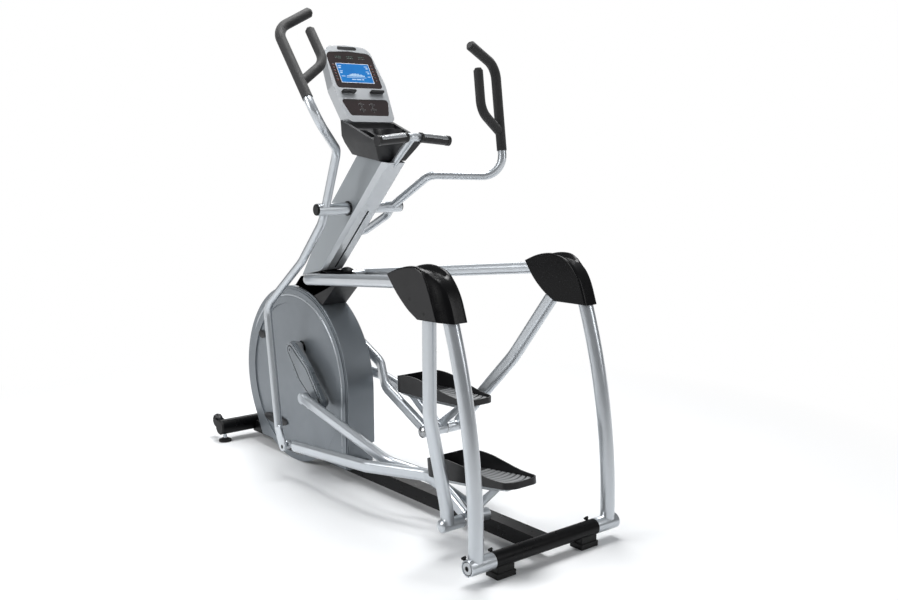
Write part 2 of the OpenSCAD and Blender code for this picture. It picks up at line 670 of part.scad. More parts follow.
// ---- mast ----
mast_line = [[1328, 768], [1116, 1065], [944, 1248], [774, 1223], [870, 1125], [1176, 804]];
mast_inner = [[1328, 768], [1116, 1065], [944, 1248], [797, 1226.4], [881.6, 1136], [1198, 798.8]];
mast_void = [[1322, 760], [1112.5, 1063], [939, 1252], [779, 1260], [778.5, 1223], [873.5, 1127],
    [1222, 760]];
mast_void_inner = [[1322, 760], [1112.5, 1063], [939, 1252], [799, 1260], [799, 1228], [883.5, 1138.2],
    [1239, 760]];
module mast_cover() at_origin() color(grey) difference() {
    // chamfered rear edges
    hull() {
        slab(-mast_half, mast_half) polygon(mast_inner);
        slab(14 - mast_half, mast_half - 14) polygon(mast_line);
    }
    hull() {
        slab(3 - mast_half, mast_half - 3) polygon(mast_void_inner);
        slab(16 - mast_half, mast_half - 16) polygon(mast_void);
    }
    // slot down the lower rear face
    slab(-4, 4) polygon([[930, 1062], [952, 1062], [1178, 820], [1160, 800]]);
    translate([0, handle_pivot_y, handle_pivot_z]) rod(shaft_r + 0.3, -80, 80);
    pulse_stem(13.3);
}
module mast_boot() at_origin() color(black) {
    difference() {
        slab(-mast_half - 6, mast_half + 6) polygon([[1250, 690], [1066, 768], [1072, 776], [1120, 792],
            [1176, 800], [1330, 764], [1372, 724], [1380, 700], [1300, 650]]);
        slab(-mast_half, mast_half) polygon([[1190, 600], [1178, 760], [1177, 803.9], [1328, 767.9], [1360, 600]]);
        translate([0, shroud_at.x, shroud_at.y]) rod(shroud_r + 6.2, -90, 90);
        both() translate([0, 1196, 768]) rod(24, mast_half, 90);
    }
    // domed knob on the right of the boot
    translate([42, 1150, 784]) {
        cylinder(r = 20, h = 16);
        translate([0, 0, 16]) rotate_extrude() intersection() {
            translate([0, -22]) circle(34);
            square([26, 20]);
        }
    }
}

// ---- handles ----
module handle_shaft() at_origin() color(black) posed(handle_pivot, 0) {
    rod(shaft_r, -187, 187);
    both() {
        rod(27, mast_half + joint_gap, mast_half + 4.6);
        rod(21, 186.3, 190);
        rod(17, 190, 192.5);
    }
}
swing_mid = 27.6;
hands = [[223, 452, -760], [209, 421, -292], [178, 172, -163], [157, 28, -46], [151, 0, 0],
    [170, -162, 178], [358, -351, 231], [356, -191, 591], [219, -194, 660]];
fork = [[353, -284, 378], [248, -283, 452], [247, -226, 583]];
socket = [435.5, 0.5 - 833.5];
module handle_posed(side) posed(handle_pivot, forward(handle_pivot, handle_joint(side)) - swing_mid) children();
module handle(side) at_origin() color(silver) mirrored(side) handle_posed(side) difference() {
    union() {
        tube(hands, 70, handle_d / 2);
        tube(fork, 70, handle_d / 2 - 1);
        rod(22, mast_half + 5, 186);
        slab(221, 231) strap([450, -772], handle_foot, 22);
        translate(hands[0]) cylinder(r = handle_d / 2 - 0.5, h = 4);
    }
    rod(shaft_r + running, 0, 200);
    translate([0, handle_foot.x, handle_foot.y]) rod(8, 200, 227);
}
handle_foot = handle_drop * unit([435.5, -833]);
module left_handle() handle(-1);
module right_handle() handle(1);
function along(a, b, s) = a + (b - a) * s;
// Closed end beyond the last point, its base buried in the bar.
module end_cap(a, b, r) {
    d = unit(b - a);
    side = unit(cross([1, 0.2, 0], d));
    placed(side, cross(d, side), d, b - 3 * d) cylinder(r1 = r - 0.2, r2 = r - 6, h = 11);
}
module grip(side) at_origin() color(rubber) mirrored(side) handle_posed(side) difference() {
    union() {
        bar([along(hands[6], hands[7], 0.235), hands[7], hands[8]], 70, foam_d / 2);
        bar(fork, 70, foam_d / 2 - 1);
        end_cap(hands[7], hands[8], foam_d / 2);
        end_cap(fork[1], fork[2], foam_d / 2 - 1);
    }
    bar([along(hands[6], hands[7], 0.2), hands[7], hands[8]], 70, handle_d / 2 + joint_gap);
    bar(fork, 70, handle_d / 2 - 1 + joint_gap);
}
module left_grip() grip(-1);
module right_grip() grip(1);

// ---- console ----
face_at = [0, 931, 1388];
module on_console() translate(face_at)
    placed([1, 0, 0], [0, sin(console_tilt), cos(console_tilt)], [0, -cos(console_tilt), sin(console_tilt)], [0, 0, 0])
        children();
face_low = -26;
module console_plan(inset) hull() {
    for (x = [-1, 1]) {
        translate([x * (console_half - 38), face_low + 24]) circle(24 - inset, $fn = 48);
        translate([x * (console_half - 60), face_low + console_length * 0.48]) circle(60 - inset, $fn = 96);
        translate([x * (console_half - 55), face_low + console_length - 46]) circle(40 - inset, $fn = 48);
    }
    translate([0, face_low + console_length - 40]) circle(40 - inset, $fn = 48);
}
module display_plan(inset) hull() {
    for (x = [-1, 1]) {
        translate([x * (display_half - 12), 129]) circle(12 - inset, $fn = 48);
        translate([x * (display_half - 26), display_top - 32]) circle(26 - inset, $fn = 48);
    }
    translate([0, display_top - 32]) circle(32 - inset, $fn = 48);
}
module keypad_plan(inset) hull() for (x = [-1, 1]) {
    translate([x * (display_half - 26), 12]) circle(12 - inset, $fn = 48);
    translate([x * (display_half - 12), 57]) circle(12 - inset, $fn = 48);
}
key_spots = [[-24, 26], [24, 26], [-24, 48], [24, 48]];
module console_shell() at_origin() color(silver) on_console() {
    difference() {
        union() {
            translate([0, 0, -44]) linear_extrude(37.9) console_plan(3);
            translate([0, 0, -62]) linear_extrude(19) console_plan(16);
        }
        translate([0, 0, -41]) linear_extrude(60) console_plan(7);
        translate([0, 0, -59]) linear_extrude(19) console_plan(20);
    }
}
module console_bezel() at_origin() color(silver) on_console() {
    difference() {
        translate([0, 0, -6]) linear_extrude(6) console_plan(0);
        translate([0, 0, -10]) linear_extrude(20) display_plan(-joint_gap);
        translate([0, 0, -10]) linear_extrude(20) keypad_plan(-joint_gap);
    }
    // two small ledges under the display
    for (x = [-1, 1]) translate([x * 62, 98, -joint_gap]) linear_extrude(14) soft_box(58, 9, 3);
    // blank oval on the top edge
    translate([0, face_low + console_length - 14, 0]) linear_extrude(1.5) oval(84, 13);
}
module display_panel() at_origin() color(black) on_console() difference() {
    translate([0, 0, -6]) linear_extrude(4.6) display_plan(0);
    translate([0, 182, -3]) linear_extrude(6) square([2 * screen_half, 80], center = true);
}
module lcd_screen() at_origin() color([0.16, 0.55, 0.85]) on_console()
    translate([0, 182, -2.95]) linear_extrude(1.8) square([2 * screen_half - 0.2, 79.8], center = true);
module keypad_panel() at_origin() color(black) on_console() difference() {
    translate([0, 0, -6]) linear_extrude(4.6) keypad_plan(0);
    for (k = key_spots) translate([k.x, k.y, -10]) cylinder(r = key_r + 0.4, h = 20);
}
module key(i) at_origin() color(silver) on_console() translate([key_spots[i].x, key_spots[i].y, -7.5]) {
    cylinder(r = key_r, h = 7);
    translate([0, 0, 7]) cylinder(r1 = key_r, r2 = key_r - 1, h = 1);
}
module key_1() key(0);
module key_2() key(1);
module key_3() key(2);
module key_4() key(3);
cup_at = [24, 862];
module console_tray() at_origin() color(dark) difference() {
    union() {
        difference() {
            intersection() {
                slab(-115, 115) polygon([[958, 1372], [763, 1303], [775, 1275], [800, 1229], [944, 1250]]);
                translate([0, 1000, 0]) rotate([90, 0, 0]) linear_extrude(300) polygon([[-mast_half - 2, 1220],
                    [mast_half + 2, 1220], [102, 1292], [113, 1316], [113, 1380], [-113, 1380], [-113, 1316], [-102, 1292]]);
            }
            // open top trough
            slab(-100, 100) polygon([[935, 1380], [918, 1344], [795, 1300], [780, 1325]]);
        }
        // raised ring of the bottle holder
        translate([cup_at.x, cup_at.y, 1290]) cylinder(r = cup_r + 9, h = 52);
    }
    translate([cup_at.x, cup_at.y, 1262]) cylinder(r = cup_r, h = 100);
    translate([-68, 856, 1290]) linear_extrude(60) soft_box(48, 84, 12);
    on_console() translate([0, 0, -62.3]) linear_extrude(63) console_plan(-0.3);
    pulse_stem(13.3);
}

// ---- pulse bar ----
pulse_mid = [0, 682, 1315];
pulse_end = [157, 677, 1301];
pulse_dir = unit(pulse_end - pulse_mid);
pulse_up = unit([0, 1, 0] - pulse_dir * pulse_dir.y);
module pulse_bar() at_origin() color(silver) {
    bar([pulse_mid + 28 * [-pulse_dir.x, pulse_dir.y, pulse_dir.z], pulse_mid, pulse_mid + 28 * pulse_dir],
        80, 14, [0, 0, 1]);
    pulse_stem(13);
}
module pulse_stem(r) bar([pulse_mid - [0, 0, 0.3], [0, 790, 1222], [0, 838, 1192]], 60, r);
module along_bar(a, b) translate(pulse_mid + pulse_dir * a)
    placed(cross(pulse_up, pulse_dir), pulse_up, pulse_dir, [0, 0, 0]) linear_extrude(b - a) children();
module pulse_grips() at_origin() color(black) both() {
    along_bar(28.1, 38) circle(18);
    along_bar(37, norm(pulse_end - pulse_mid) - 12) intersection() {
        circle(17);
        translate([-3, -20]) square([40, 40]);
    }
    along_bar(norm(pulse_end - pulse_mid) - 13, norm(pulse_end - pulse_mid)) circle(18);
}
module pulse_sensors() at_origin() color([0.85, 0.86, 0.88]) both()
    along_bar(38.1, norm(pulse_end - pulse_mid) - 13.1) intersection() {
        circle(16.6);
        translate([-40 - 3.05, -20]) square([40, 40]);
    }

main_beam();
front_stabilizer();
tube_end_caps();
left_wheel();
right_wheel();
rubber_feet();
leveling_screws();
rear_cross_tube();
left_upright();
right_upright();
left_side_rail();
right_side_rail();
left_housing();
right_housing();
housing_panels();
housing_screws();
arm_pins();
core_frame();
mast_cover();
mast_boot();
shroud_left();
shroud_right();
shroud_rim();
drive_belt();
flywheel();
brake_magnet();
crank_axle();
crank_arms();
crank_covers();
drive_pulley();
handle_shaft();
console_shell();
console_bezel();
display_panel();
lcd_screen();
keypad_panel();
key_1();
key_2();
key_3();
key_4();
console_tray();
pulse_bar();
pulse_grips();
pulse_sensors();
left_arm();
right_arm();
left_foot_axle();
right_foot_axle();
left_link();
right_link();
left_pedal_link();
right_pedal_link();
left_pedal();
right_pedal();
left_tread();
right_tread();
left_handle();
right_handle();
left_grip();
right_grip();
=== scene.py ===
from math import cos, pi, radians, sin, sqrt

import bmesh
import bpy
from mathutils import Matrix, Vector


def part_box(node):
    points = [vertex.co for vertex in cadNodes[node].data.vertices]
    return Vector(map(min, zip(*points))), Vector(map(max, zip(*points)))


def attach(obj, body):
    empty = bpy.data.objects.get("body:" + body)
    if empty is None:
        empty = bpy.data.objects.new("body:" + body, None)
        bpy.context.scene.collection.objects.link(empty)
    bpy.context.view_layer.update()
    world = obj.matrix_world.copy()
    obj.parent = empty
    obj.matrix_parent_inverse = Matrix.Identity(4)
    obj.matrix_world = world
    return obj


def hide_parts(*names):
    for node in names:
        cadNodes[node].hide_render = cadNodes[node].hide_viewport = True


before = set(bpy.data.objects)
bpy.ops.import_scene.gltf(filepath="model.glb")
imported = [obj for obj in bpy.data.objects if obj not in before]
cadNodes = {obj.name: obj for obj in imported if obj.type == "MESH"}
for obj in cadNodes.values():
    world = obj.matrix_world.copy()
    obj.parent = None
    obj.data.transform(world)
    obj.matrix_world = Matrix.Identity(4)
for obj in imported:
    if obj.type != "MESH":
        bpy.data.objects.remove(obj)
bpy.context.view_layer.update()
print("frame loaded:", len(cadNodes), "nodes")

# Design values are in millimetres from the rear cross tube's axis, so this moves them to the frame's origin.
rearTubeLow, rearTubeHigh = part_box("rear_cross_tube")
rearTubeY = (rearTubeLow[1] + rearTubeHigh[1]) / 2


def place(x, y, z):
    return Vector((x / 1000, y / 1000 + rearTubeY, z / 1000))


# each finish is a Principled shader with its values on the sockets and its unevenness from noise
def newFinish(name, values):
    material = bpy.data.materials.new(name)
    material.use_nodes = True
    tree = material.node_tree
    shader = tree.nodes["Principled BSDF"]
    for socket, value in values.items():
        shader.inputs[socket].default_value = value
    return material, tree, shader


def noiseNode(tree, scale, detail, stretch=(1, 1, 1)):
    coordinates = tree.nodes.new("ShaderNodeTexCoord")
    mapping = tree.nodes.new("ShaderNodeMapping")
    mapping.inputs["Scale"].default_value = stretch
    noise = tree.nodes.new("ShaderNodeTexNoise")
    noise.inputs["Scale"].default_value = scale
    noise.inputs["Detail"].default_value = detail
    tree.links.new(coordinates.outputs["Object"], mapping.inputs["Vector"])
    tree.links.new(mapping.outputs["Vector"], noise.inputs["Vector"])
    return noise.outputs["Fac"]


def spread(tree, source, low, high, fromLow=0.3, fromHigh=0.7):
    bend = tree.nodes.new("ShaderNodeMapRange")
    bend.inputs["From Min"].default_value = fromLow
    bend.inputs["From Max"].default_value = fromHigh
    bend.inputs["To Min"].default_value = low
    bend.inputs["To Max"].default_value = high
    tree.links.new(source, bend.inputs["Value"])
    return bend.outputs["Result"]


def toneMix(tree, factor, colourA, colourB):
    tone = tree.nodes.new("ShaderNodeMix")
    tone.data_type = "RGBA"
    tone.inputs["A"].default_value = list(colourA) + [1]
    tone.inputs["B"].default_value = list(colourB) + [1]
    tree.links.new(factor, tone.inputs["Factor"])
    return tone.outputs["Result"]


surfaceValues = {"smearScale": 30, "smearDetail": 3, "cloudDetail": 4, "grainDetail": 2, "leastRough": 0.03,
                 "edgeSamples": 6}


def surface(name, colour, rough, metal=0.0, coat=0.0, coatRough=0.1, mottle=0.05, mottleScale=9.0,
            roughSwing=0.04, grain=900.0, grainDepth=0.00003, edge=0.0, stretch=(1, 1, 1), sheen=0.0,
            specular=0.5):
    material, tree, shader = newFinish(name, {
        "Metallic": metal, "Coat Weight": coat, "Coat Roughness": coatRough,
        "Sheen Weight": sheen, "Specular IOR Level": specular})
    cloud = noiseNode(tree, mottleScale, surfaceValues["cloudDetail"], stretch)
    darker = [c * (1 - mottle) for c in colour]
    lighter = [min(1, c * (1 + mottle)) for c in colour]
    tree.links.new(toneMix(tree, spread(tree, cloud, 0, 1), darker, lighter), shader.inputs["Base Color"])
    smear = noiseNode(tree, surfaceValues["smearScale"], surfaceValues["smearDetail"], stretch)
    smoothest = max(surfaceValues["leastRough"], rough - roughSwing)
    tree.links.new(spread(tree, smear, smoothest, min(1, rough + roughSwing)), shader.inputs["Roughness"])
    if grainDepth:
        bump = tree.nodes.new("ShaderNodeBump")
        bump.inputs["Strength"].default_value = 1.0
        bump.inputs["Distance"].default_value = grainDepth
        tree.links.new(noiseNode(tree, grain, surfaceValues["grainDetail"], stretch), bump.inputs["Height"])
        if edge:
            rounding = tree.nodes.new("ShaderNodeBevel")
            rounding.samples = surfaceValues["edgeSamples"]
            rounding.inputs["Radius"].default_value = edge
            tree.links.new(rounding.outputs["Normal"], bump.inputs["Normal"])
        tree.links.new(bump.outputs["Normal"], shader.inputs["Normal"])
    return material


# bright metals have no grain, because it sparkles on them at a distance
finishes = {
    "silverPaint": surface("silverPaint", (0.50, 0.53, 0.56), 0.30, metal=0.75, coat=0.45, coatRough=0.12,
                           mottle=0.03, roughSwing=0.02, grainDepth=0.0),
    "silverPlastic": surface("silverPlastic", (0.46, 0.48, 0.50), 0.33, metal=0.6, coat=0.2, mottle=0.03,
                             roughSwing=0.02, grainDepth=0.0),
    "greyShroud": surface("greyShroud", (0.175, 0.195, 0.215), 0.36, metal=0.55, coat=0.2, coatRough=0.3,
                          mottle=0.05, mottleScale=5, grain=1500, grainDepth=0.00001),
    # a lighter grey for the shroud's bead, a painted highlight along the rim
    "shroudBead": surface("shroudBead", (0.36, 0.385, 0.41), 0.30, metal=0.6, coat=0.3, mottle=0.03,
                          grain=1500, grainDepth=0.00001),
    "greyMast": surface("greyMast", (0.30, 0.325, 0.345), 0.38, metal=0.5, coat=0.2, coatRough=0.3,
                        mottle=0.05, mottleScale=5, grain=1500, grainDepth=0.00001),
    "crankGrey": surface("crankGrey", (0.20, 0.22, 0.24), 0.30, metal=0.6, coat=0.3, mottle=0.05,
                         grain=1200, grainDepth=0.00001),
    "blackPaint": surface("blackPaint", (0.003, 0.003, 0.0034), 0.30, mottle=0.2, grain=260,
                          grainDepth=0.00005, edge=0.0015, specular=0.14),
    "blackPlastic": surface("blackPlastic", (0.008, 0.008, 0.009), 0.38, mottle=0.15, grain=1300,
                            grainDepth=0.00004, specular=0.32),
    "deepPlastic": surface("deepPlastic", (0.003, 0.003, 0.0034), 0.26, mottle=0.15, grain=1300,
                           grainDepth=0.00003, specular=0.14),
    # dark plastic; the same finish is laid in the crank covers' grooves as painted shade
    "darkPlasticAndGrooveShade": surface("darkPlasticAndGrooveShade", (0.014, 0.0145, 0.016), 0.42, mottle=0.12, grain=1200,
                           grainDepth=0.00006, specular=0.38),
    "rubber": surface("rubber", (0.010, 0.010, 0.010), 0.6, mottle=0.2, grain=1100, grainDepth=0.0001,
                      edge=0.0015, specular=0.3),
    "foam": surface("foam", (0.010, 0.010, 0.0107), 0.7, mottle=0.25, mottleScale=60, grain=650,
                    grainDepth=0.0002, sheen=0.15, specular=0.35),
    "treadGrey": surface("treadGrey", (0.16, 0.165, 0.17), 0.45, mottle=0.12, grain=700, grainDepth=0.0001),
    "steel": surface("steel", (0.50, 0.51, 0.52), 0.24, metal=1.0, mottle=0.06, grainDepth=0.0,
                     stretch=(0.1, 1, 1)),
    "castMetal": surface("castMetal", (0.30, 0.31, 0.32), 0.42, metal=0.9, mottle=0.12, grain=500,
                         grainDepth=0.0001, edge=0.001),
    "sensorMetal": surface("sensorMetal", (0.70, 0.72, 0.74), 0.20, metal=1.0, mottle=0.02,
                           stretch=(0.05, 1, 1), grainDepth=0.0),
    "panelGlass": surface("panelGlass", (0.014, 0.008, 0.008), 0.14, coat=0.6, coatRough=0.04, mottle=0.3,
                          grain=300, grainDepth=0.00001),
    "keyCap": surface("keyCap", (0.03, 0.028, 0.028), 0.3, coat=0.3, mottle=0.1),
    "markLight": surface("markLight", (0.62, 0.66, 0.70), 0.4, mottle=0.05),
    "markGrey": surface("markGrey", (0.20, 0.21, 0.22), 0.4, mottle=0.05),
    "markWarm": surface("markWarm", (0.22, 0.05, 0.03), 0.4, mottle=0.1),
    "markGreen": surface("markGreen", (0.06, 0.14, 0.11), 0.4, mottle=0.1),
}


glowValues = {"rough": 0.2, "baseShare": 0.3, "detail": 2.0}


def glowing(name, colourA, colourB, strength, scale):
    unlit = [c * glowValues["baseShare"] for c in colourA]
    material, tree, shader = newFinish(name, {
        "Roughness": glowValues["rough"], "Emission Strength": strength, "Base Color": unlit + [1]})
    cloud = noiseNode(tree, scale, glowValues["detail"])
    tone = toneMix(tree, spread(tree, cloud, 0, 1), colourA, colourB)
    tree.links.new(tone, shader.inputs["Emission Color"])
    return material


finishes["screenGlow"] = glowing("screenGlow", (0.005, 0.13, 0.42), (0.010, 0.19, 0.52), 0.75, 14)
finishes["screenMark"] = glowing("screenMark", (0.45, 0.65, 0.85), (0.52, 0.72, 0.92), 0.6, 40)
print("finishes made:", len(finishes))

nodeFinishes = {
    "silverPaint": ["left_upright", "right_upright", "left_side_rail", "right_side_rail", "left_arm",
                    "right_arm", "left_link", "right_link", "left_pedal_link", "right_pedal_link",
                    "left_handle", "right_handle", "pulse_bar", "leveling_screws"],
    "silverPlastic": ["console_shell", "console_bezel"],
    "greyShroud": ["shroud_left", "shroud_right", "shroud_rim"],
    "greyMast": ["mast_cover"],
    "crankGrey": ["crank_covers"],
    "blackPaint": ["main_beam", "rear_cross_tube", "front_stabilizer", "core_frame"],
    "blackPlastic": ["left_housing", "right_housing", "housing_panels", "left_pedal", "right_pedal",
                     "mast_boot", "pulse_grips", "handle_shaft"],
    "darkPlasticAndGrooveShade": ["console_tray", "left_wheel", "right_wheel", "brake_magnet"],
    "rubber": ["tube_end_caps", "rubber_feet", "drive_belt", "housing_screws"],
    "foam": ["left_grip", "right_grip"],
    "treadGrey": ["left_tread", "right_tread"],
    "steel": ["arm_pins", "crank_axle", "left_foot_axle", "right_foot_axle"],
    "castMetal": ["flywheel", "drive_pulley", "crank_arms"],
    "sensorMetal": ["pulse_sensors"],
    "panelGlass": ["display_panel", "keypad_panel"],
    "keyCap": ["key_1", "key_2", "key_3", "key_4"],
    "screenGlow": ["lcd_screen"],
}

dressed = set()
for finishName, names in nodeFinishes.items():
    for nodeName in names:
        cadNodes[nodeName].data.materials.clear()
        cadNodes[nodeName].data.materials.append(finishes[finishName])
        dressed.add(nodeName)
print("nodes without a finish:", sorted(set(cadNodes) - dressed))


def addPiece(name, shape, finishNames, body, replaced=(), smooth=38):
    mesh = bpy.data.meshes.new(name)
    shape.to_mesh(mesh)
    shape.free()
    for finishName in finishNames:
        mesh.materials.append(finishes[finishName])
    mesh.shade_smooth()
    mesh.set_sharp_from_angle(angle=radians(smooth))
    piece = bpy.data.objects.new(name, mesh)
    bpy.context.scene.collection.objects.link(piece)
    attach(piece, body)
    for node in replaced:
        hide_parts(node)
    return piece


def sharpEdges(shape, angle):
    return [e for e in shape.edges if len(e.link_faces) == 2 and e.calc_face_angle(0) > radians(angle)]


def rounded(shape, angle, width, segments):
    bmesh.ops.bevel(shape, geom=sharpEdges(shape, angle), offset=width, offset_type="OFFSET",
                    segments=segments, profile=0.5, affect="EDGES", material=-1, clamp_overlap=True,
                    harden_normals=False)


def pulledOut(shape, faces):
    grown = bmesh.ops.extrude_face_region(shape, geom=faces)
    return [v for v in grown["geom"] if isinstance(v, bmesh.types.BMVert)]


def loft(shape, rows, index=0):
    # each row of places is one closed loop, extruded into the next row, and both ends are closed
    corners = [shape.verts.new(at) for at in rows[0]]
    edges = [shape.edges.new(pair) for pair in zip(corners, corners[1:] + corners[:1])]
    made = bmesh.ops.contextual_create(shape, geom=edges)["faces"]
    for row in rows[1:]:
        grown = bmesh.ops.extrude_edge_only(shape, edges=edges)["geom"]
        corners = [v for v in grown if isinstance(v, bmesh.types.BMVert)]
        edges = [e for e in grown if isinstance(e, bmesh.types.BMEdge)]
        made += [f for f in grown if isinstance(f, bmesh.types.BMFace)]
        for corner, at in zip(corners, row):
            corner.co = at
    made += bmesh.ops.contextual_create(shape, geom=edges)["faces"]
    for face in made:
        face.material_index = index


def flatten(piece):
    flat = piece.modifiers.new("flatFaces", "WEIGHTED_NORMAL")
    flat.keep_sharp = True
    flat.weight = 60


softMerge = {"solid": 0.000004, "flat": 1.0, "tube": 0.00002, "sliver": 0.00005}
softValues = {
    "mast_cover": {"width": 0.007, "segments": 4, "angle": 25, "slot": "grey_plastic"},
    "console_tray": {"width": 0.004, "segments": 3, "angle": 25, "slot": "dark_plastic"},
    "mast_boot": {"width": 0.003, "segments": 3, "angle": 30, "slot": "black_plastic"},
    "shroud_left": {"width": 0.0035, "segments": 3, "angle": 35, "smooth": 75, "slot": "grey_plastic"},
    "shroud_right": {"width": 0.0035, "segments": 3, "angle": 35, "smooth": 75, "slot": "grey_plastic"},
    "shroud_rim": {"width": 0.012, "segments": 4, "angle": 40, "slot": "grey_plastic"},
    "console_shell": {"width": 0.003, "segments": 3, "angle": 40, "slot": "silver_plastic"},
    "console_bezel": {"width": 0.002, "segments": 3, "angle": 40, "slot": "silver_plastic"},
    "crank_covers": {"width": 0.0025, "segments": 3, "angle": 40, "slot": "grey_plastic", "body": "crank"},
    "left_pedal": {"width": 0.0016, "segments": 2, "angle": 40, "slot": "black_plastic",
                   "body": "left_pedal"},
    "right_pedal": {"width": 0.0016, "segments": 2, "angle": 40, "slot": "black_plastic",
                    "body": "right_pedal"},
    "main_beam": {"width": 0.004, "segments": 3, "angle": 40, "slot": "black_paint"},
    "rubber_feet": {"width": 0.002, "segments": 2, "angle": 40, "slot": "black_rubber"},
}
tubeBodies = {
    "left_upright": "frame", "right_upright": "frame", "left_side_rail": "frame", "right_side_rail": "frame",
    "left_arm": "left_arm", "right_arm": "right_arm", "left_link": "left_link", "right_link": "right_link",
    "left_pedal_link": "left_pedal", "right_pedal_link": "right_pedal", "left_handle": "left_handle",
    "right_handle": "right_handle", "pulse_bar": "frame"}
softPieces = {}


def pieceName(nodeName, ending):
    words = nodeName.split("_")
    return words[0] + "".join(w.capitalize() for w in words[1:]) + ending


def copyOf(nodeName, merge):
    shape = bmesh.new()
    shape.from_mesh(cadNodes[nodeName].data)
    shape.transform(cadNodes[nodeName].matrix_world)
    bmesh.ops.remove_doubles(shape, verts=shape.verts, dist=merge)
    return shape


for nodeName, body in tubeBodies.items():
    shape = copyOf(nodeName, softMerge["tube"])
    bmesh.ops.dissolve_degenerate(shape, edges=shape.edges, dist=softMerge["sliver"])
    piece = addPiece(pieceName(nodeName, "Tube"), shape, ["silverPaint"], body, [nodeName])
    flatten(piece)
for nodeName, values in softValues.items():
    shape = copyOf(nodeName, softMerge["solid"])
    bmesh.ops.dissolve_limit(shape, angle_limit=radians(softMerge["flat"]), verts=shape.verts,
                             edges=shape.edges, delimit={"NORMAL"})
    rounded(shape, values["angle"], values["width"], values["segments"])
    finishName = [f for f, names in nodeFinishes.items() if nodeName in names][0]
    piece = addPiece(pieceName(nodeName, "Soft"), shape, [finishName], values.get("body", "frame"),
                     [nodeName], values.get("smooth", 38))
    flatten(piece)
    softPieces[nodeName] = piece
print("softened", len(softValues), "solids and cleaned", len(tubeBodies), "tubes")

# the console's face is flat: x across, y up the face, z out of it, in millimetres
consoleValues = {"origin": (0, 931, 1388), "tilt": 31.7, "screenAt": (0, 182), "screenHalf": (71, 40),
                 "glassTop": -1.4, "screenTop": -1.15, "ledgeAbove": 0.6, "frameLine": 1.6,
                 "frameThick": 0.3, "markThick": 0.25, "printThick": 0.2}


def facePlane(values):
    t = radians(values["tilt"])
    turn = Matrix(((1, 0, 0), (0, sin(t), -cos(t)), (0, cos(t), sin(t))))
    return Matrix.Translation(place(*values["origin"])) @ turn.to_4x4() @ Matrix.Scale(0.001, 4)


consolePlane = facePlane(consoleValues)


def tiles(shape, spots, base, thick, index=0):
    for x, y, w, h in spots:
        made = bmesh.ops.create_cube(shape, size=1, matrix=Matrix.Translation((x, y, base + thick / 2))
                                     @ Matrix.Diagonal((w, h, thick, 1)))
        for face in {f for v in made["verts"] for f in v.link_faces}:
            face.material_index = index


def onConsole(name, shape, finishNames):
    shape.transform(consolePlane)
    return addPiece(name, shape, finishNames, "frame")


screenX, screenY = consoleValues["screenAt"]
wide, tall = consoleValues["screenHalf"]
shape = bmesh.new()
line = consoleValues["frameLine"]
tiles(shape, [(screenX, screenY + tall + line / 2, 2 * wide + 2 * line, line),
              (screenX, screenY - tall - line / 2, 2 * wide + 2 * line, line),
              (screenX - wide - line / 2, screenY, line, 2 * tall),
              (screenX + wide + line / 2, screenY, line, 2 * tall)],
      consoleValues["glassTop"], consoleValues["frameThick"])
onConsole("screenFrame", shape, ["markLight"])

# blocks on the screen are (x, y, width, height) from its centre: dashes, a bar chart and its base line
screenValues = {
    "dashes": [(-58, 30, 14, 3), (-60, 22, 10, 5), (-58, 8, 12, 3), (-60, 1, 9, 5), (-56, -14, 16, 3),
               (57, 30, 14, 3), (60, 22, 9, 5), (57, 8, 12, 3), (60, 1, 8, 5), (58, -14, 12, 3)],
    "barHeights": [4, 5, 8, 11, 13, 13, 14, 12, 13, 9, 10, 7, 5],
    "barFrom": -38, "barPitch": 6.2, "barWide": 4.6, "barFoot": -15,
    "below": [(0, -19, 86, 1.6), (-14, -27, 18, 4), (8, -27, 20, 4), (26, -27, 8, 4)]}


def screenBlocks(values):
    bars = [(values["barFrom"] + i * values["barPitch"], values["barFoot"] + h / 2, values["barWide"], h)
            for i, h in enumerate(values["barHeights"])]
    return values["dashes"] + bars + values["below"]


shape = bmesh.new()
tiles(shape, [(screenX + x, screenY + y, w, h) for x, y, w, h in screenBlocks(screenValues)],
      consoleValues["screenTop"], consoleValues["markThick"])
onConsole("screenMarks", shape, ["screenMark"])

# small printed marks on the display glass: dots and short dashes only
printValues = {"groups": (-52, 0, 52), "inGroup": (-11, -4, 4, 11), "rows": (246, 253), "dot": (4.4, 1.5),
               "greyEvery": 4, "sideX": 86, "sideLean": 0.4, "sideMarks": 6, "sidePitch": 13,
               "warmFrom": 150, "warm": (4.5, 2.0), "greyFrom": 155, "grey": (7, 1.0),
               "keys": [(-24, 26), (24, 26), (-24, 48), (24, 48)], "besideKey": 11, "beside": (1.4, 5),
               "belowKey": 9.5, "below": (4, 1.2)}
glassTop, printThick = consoleValues["glassTop"], consoleValues["printThick"]


def displayMarks(values):
    shape = bmesh.new()
    dots = [(x + dx, y) for x in values["groups"] for dx in values["inGroup"] for y in values["rows"]]
    for i, at in enumerate(dots):
        tiles(shape, [at + values["dot"]], glassTop, printThick, 1 if i % values["greyEvery"] else 0)
    for side in (-1, 1):
        for i in range(values["sideMarks"]):
            x = side * (values["sideX"] - values["sideLean"] * i)
            up = values["sidePitch"] * i
            tiles(shape, [(x, values["warmFrom"] + up) + values["warm"]], glassTop, printThick, 2)
            tiles(shape, [(x, values["greyFrom"] + up) + values["grey"]], glassTop, printThick, 0)
    return shape


def keypadMarks(values):
    shape = bmesh.new()
    for x, y in values["keys"]:
        tiles(shape, [(x - values["besideKey"], y) + values["beside"],
                      (x + values["besideKey"], y) + values["beside"],
                      (x, y - values["belowKey"]) + values["below"]], glassTop, printThick)
    return shape


onConsole("displayMarks", displayMarks(printValues), ["markGrey", "markGreen", "markWarm"])
onConsole("keypadMarks", keypadMarks(printValues), ["markGrey"])


